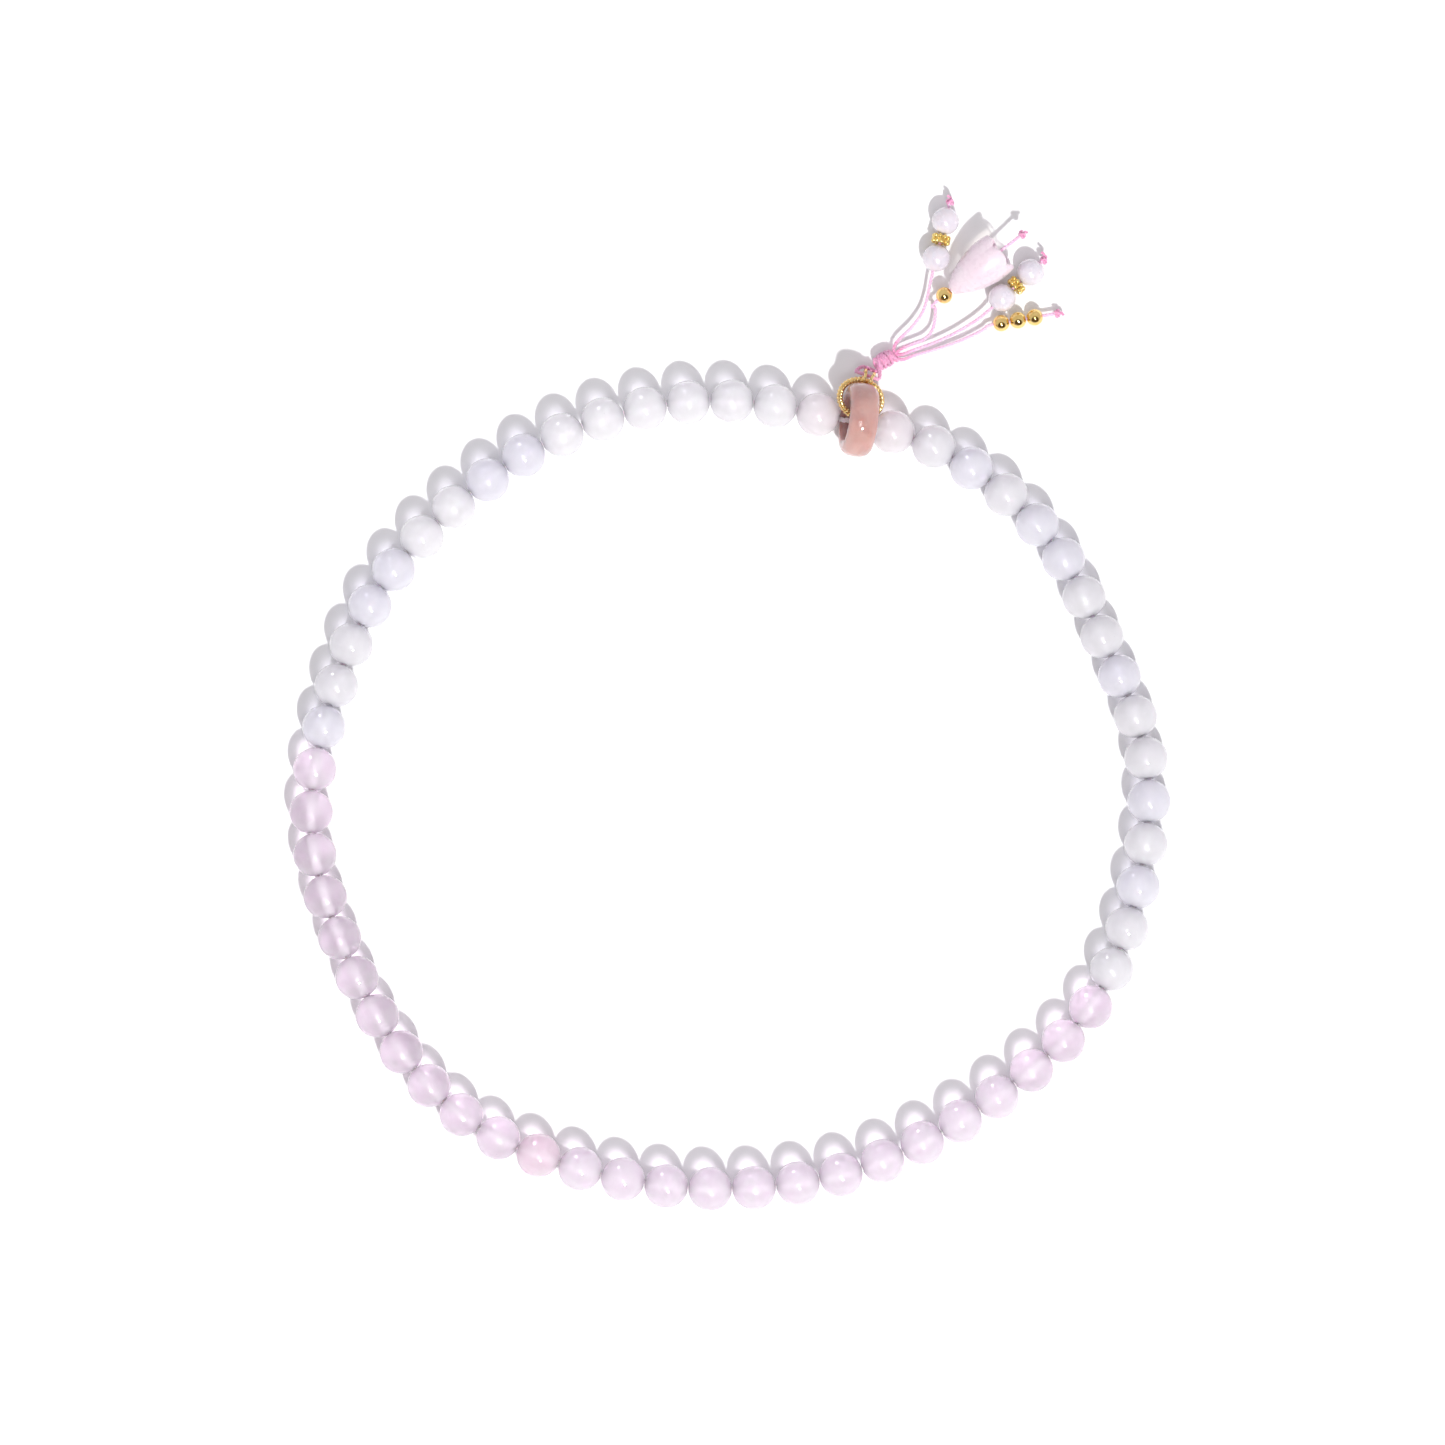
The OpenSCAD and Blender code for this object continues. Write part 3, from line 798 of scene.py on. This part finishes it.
def flower_outline(angle):
    """Outline of the bell at an angle: up the outside, over the lip, and down inside to the hole."""
    fold = 1 - abs(math.cos(PETALS * angle / 2))

    def outside(t):
        bell = FLOWER_TIP_R + (FLOWER_R - FLOWER_TIP_R) * (
            1 - max(0, 1 - t) ** 2.5 - MOUTH_DRAW * t**5)
        side = 1 - SIDE_FOLD * t**2 * fold**1.1
        top = 1 - LIP_FOLD * t**3 * fold**1.2
        return (bell * side, FLOWER_L * t * top)

    out = [outside(t) for t in np.linspace(0.0, 0.97, 26)]
    lip = [(outside(t)[0] - back * FLOWER_WALL, outside(t)[1])
           for t, back in ((0.99, 0.08), (1.0, 0.3), (1.0, 0.6), (0.985, 0.88))]
    inside = [(outside(t)[0] - FLOWER_WALL * (1 + 0.3 * (1 - t)), outside(t)[1])
              for t in np.linspace(0.95, FLOWER_CUP, 18)]
    floor = [(max(TASSEL_BORE_R, 0.5 * inside[-1][0]), inside[-1][1] - 0.25 * MM),
             (TASSEL_BORE_R, inside[-1][1] - 0.4 * MM), (TASSEL_BORE_R, 0.0)]
    return out + lip + inside + floor


def make_flower(node):
    """Carved hollow bell with five petals, threaded from its tip."""
    start, end = STRAND_ROUTES[1][-2:]
    axis = unit(end - start)
    shape = lathe(flower_outline, 120, start + FLOWER_TIP_PLACE * axis, axis)
    return add_piece(f"carved_{node}", shape, CARVED, node, [node])


# ---- Rings ----

def ring_place(node):
    """Centre, axis and outer radius of a CAD ring, from its mesh."""
    points = np.array([v.co for v in frame["nodes"][node].data.vertices], float)
    low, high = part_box(node)
    centre = np.array((low + high) / 2)
    axis = np.linalg.eigh(np.cov((points - centre).T))[1][:, 0]
    away = points - centre
    reach = np.linalg.norm(away - (away @ axis)[:, None] * axis, axis=1).max()
    return centre, axis, float(reach)


STONE_W = 2.5 * MM
STONE_T = 4.0 * MM
# How square the stone ring's section is: 2 is an ellipse
CROWN = 2.3


def crowned(v):
    """A sine or cosine, pushed away from 0, so that an ellipse made from it gets fuller corners."""
    return math.copysign(abs(v) ** (2 / CROWN), v)


def make_stone_ring():
    """Thick agate ring with a crowned, rounded body."""
    centre, axis, reach = ring_place("stone_ring")
    outline = [
        (reach - STONE_W / 2 + crowned(math.cos(a)) * STONE_W / 2, crowned(math.sin(a)) * STONE_T / 2)
        for a in np.linspace(0, TURN, 56, endpoint=False)]
    add_piece("agate_ring", lathe(lambda a: outline, 120, centre, axis), AGATE, "stone_ring",
              ["stone_ring"], sharp=70)


ROPE_WIRE_R = 0.25 * MM
ROPE_R = 0.46 * MM
ROPE_TWISTS = 17


def make_twisted_ring():
    """Two gold wires twisted together and bent to a ring."""
    centre, axis, reach = ring_place("twisted_ring")
    across, over = square_to(axis)
    wires = []
    for wire in (0, 0.5):
        points = []
        for t in np.linspace(0, 1, 340, endpoint=False):
            a = TURN * t
            way = math.cos(a) * across + math.sin(a) * over
            b = TURN * (ROPE_TWISTS * t + wire)
            points.append(centre + (reach - ROPE_R) * way
                          + (ROPE_R - ROPE_WIRE_R) * (math.cos(b) * way + math.sin(b) * axis))
        wires.append(tube(np.array(points), ROPE_WIRE_R, closed=True))
    add_piece("twisted_gold_ring", merged(wires), GOLD_WIRE, "twisted_ring", ["twisted_ring"])


JUMP_WIRE_R = 0.21 * MM
# The saw cut's width and its place, as angles
JUMP_CUT = math.radians(3)
JUMP_CUT_AT = 4.2


def make_jump_ring(node):
    """Round wire ring, closed at a saw cut."""
    centre, axis, reach = ring_place(node)
    across, over = square_to(axis)
    a = np.linspace(JUMP_CUT / 2, TURN - JUMP_CUT / 2, 80)[:, None] + JUMP_CUT_AT
    path = centre + (reach - JUMP_WIRE_R) * (np.cos(a) * across + np.sin(a) * over)
    add_piece(f"gold_{node}", tube(path, JUMP_WIRE_R, sides=16), GOLD_WIRE, "jump_rings", [node])


CORD_LAY = 2.5 * MM
CORD_KNOT_LIFT = 0.12 * MM
CORD_KNOT_SIZE = 0.36 * MM
CORD_KNOT_R = 0.18 * MM


def make_stringing_cord():
    """Closed cord through every bead, which climbs over the stone ring's rim at its closing knot."""
    middle = (JUNCTIONS[0] + JUNCTIONS[-1]) / 2
    way = unit(JUNCTIONS[0] - JUNCTIONS[-1])
    climb = [middle + side * CLIMB_HALF * way + (0, 0, CORD_CLIMB) for side in (-1, 1)]
    route = np.vstack([JUNCTIONS, climb, JUNCTIONS[:1]])
    path = even(route, 0.25 * MM)[:-1]
    knot = knot_tube(middle + (0, 0, CORD_CLIMB + CORD_KNOT_LIFT), way, CORD_KNOT_SIZE, CORD_KNOT_R)
    shape = merged([twisted(path, CORD_R, closed=True, lay=CORD_LAY), knot])
    add_piece("cord_of_loop", shape, CORD_PINK, "strung_loop", ["stringing_cord"])


# ---- Everything in its place ----

MAKERS = {"pearl": make_pearl, "gold": make_gold_bead, "spacer": make_spacer, "flower": make_flower}

for k, nodes in enumerate(STRAND_PIECES):
    make_strand(k, [MAKERS[node.split("_")[0]](node) for node in nodes])
make_wrapped_knot()
make_stone_ring()
make_twisted_ring()
make_jump_ring("jump_ring_1")
make_jump_ring("jump_ring_2")
make_stringing_cord()
for i in range(1, BEAD_COUNT + 1):
    make_loop_bead(i)


# ---- Floor and light ----

FLOOR_HALF = 2.0
FLOOR_WHITE = (0.94, 0.94, 0.94, 1)
KEY_FROM = Vector((0.18, -0.63, 0.755))
KEY_STRENGTH = 2.8
KEY_ANGLE = math.radians(2.5)
# The even light of the room, its dark patch, which gold mirrors, and its small window overhead
FILL = (0.66, 0.645, 0.68)
DARK_FILL = (0.10, 0.08, 0.07)
DARK_TOWARDS = (0.1, -0.75, 0.66)
WINDOW = (5.5, 5.5, 5.6)
WINDOW_TOWARDS = (0.02, -0.38, 0.93)


def make_floor():
    """Wide white matt floor at the height that the beads lie on."""
    mesh = bpy.data.meshes.new("floor")
    corners = [(x * FLOOR_HALF, y * FLOOR_HALF, 0) for x, y in ((-1, -1), (1, -1), (1, 1), (-1, 1))]
    mesh.from_pydata(corners, [], [(0, 1, 2, 3)])
    floor = bpy.data.objects.new("floor", mesh)
    bpy.context.scene.collection.objects.link(floor)
    material, tree, shader = new_material(
        "floor_white", base_color=FLOOR_WHITE, roughness=0.9, specular_ior_level=0.1)
    bump(tree, shader, noise_at(tree, 900, detail=3), 0.02, 0.02 * MM)
    mesh.materials.append(material)


def make_light():
    """Pale room with a dark patch and a window, and one far, narrow key light."""
    data = bpy.data.lights.new("key", "SUN")
    data.energy = KEY_STRENGTH
    data.angle = KEY_ANGLE
    key = bpy.data.objects.new("key", data)
    key.rotation_euler = KEY_FROM.to_track_quat("Z", "Y").to_euler()
    bpy.context.scene.collection.objects.link(key)
    world = bpy.data.worlds.new("room")
    bpy.context.scene.world = world
    world.use_nodes = True
    tree = world.node_tree
    place = tree.nodes.new("ShaderNodeTexCoord")

    def towards(direction):
        node = tree.nodes.new("ShaderNodeVectorMath")
        node.operation = "DOT_PRODUCT"
        node.inputs[1].default_value = Vector(direction).normalized()
        tree.links.new(place.outputs["Generated"], node.inputs[0])
        return node.outputs["Value"]

    room = ramp(tree, towards(DARK_TOWARDS), [(0.60, FILL), (0.70, DARK_FILL)])
    window = ramp(tree, towards(WINDOW_TOWARDS), [(0.984, 0.0), (0.988, 1.0)])
    tree.links.new(mix(tree, window, room, WINDOW), tree.nodes["Background"].inputs["Color"])


make_floor()
make_light()
bpy.context.scene.view_settings.view_transform = "Standard"
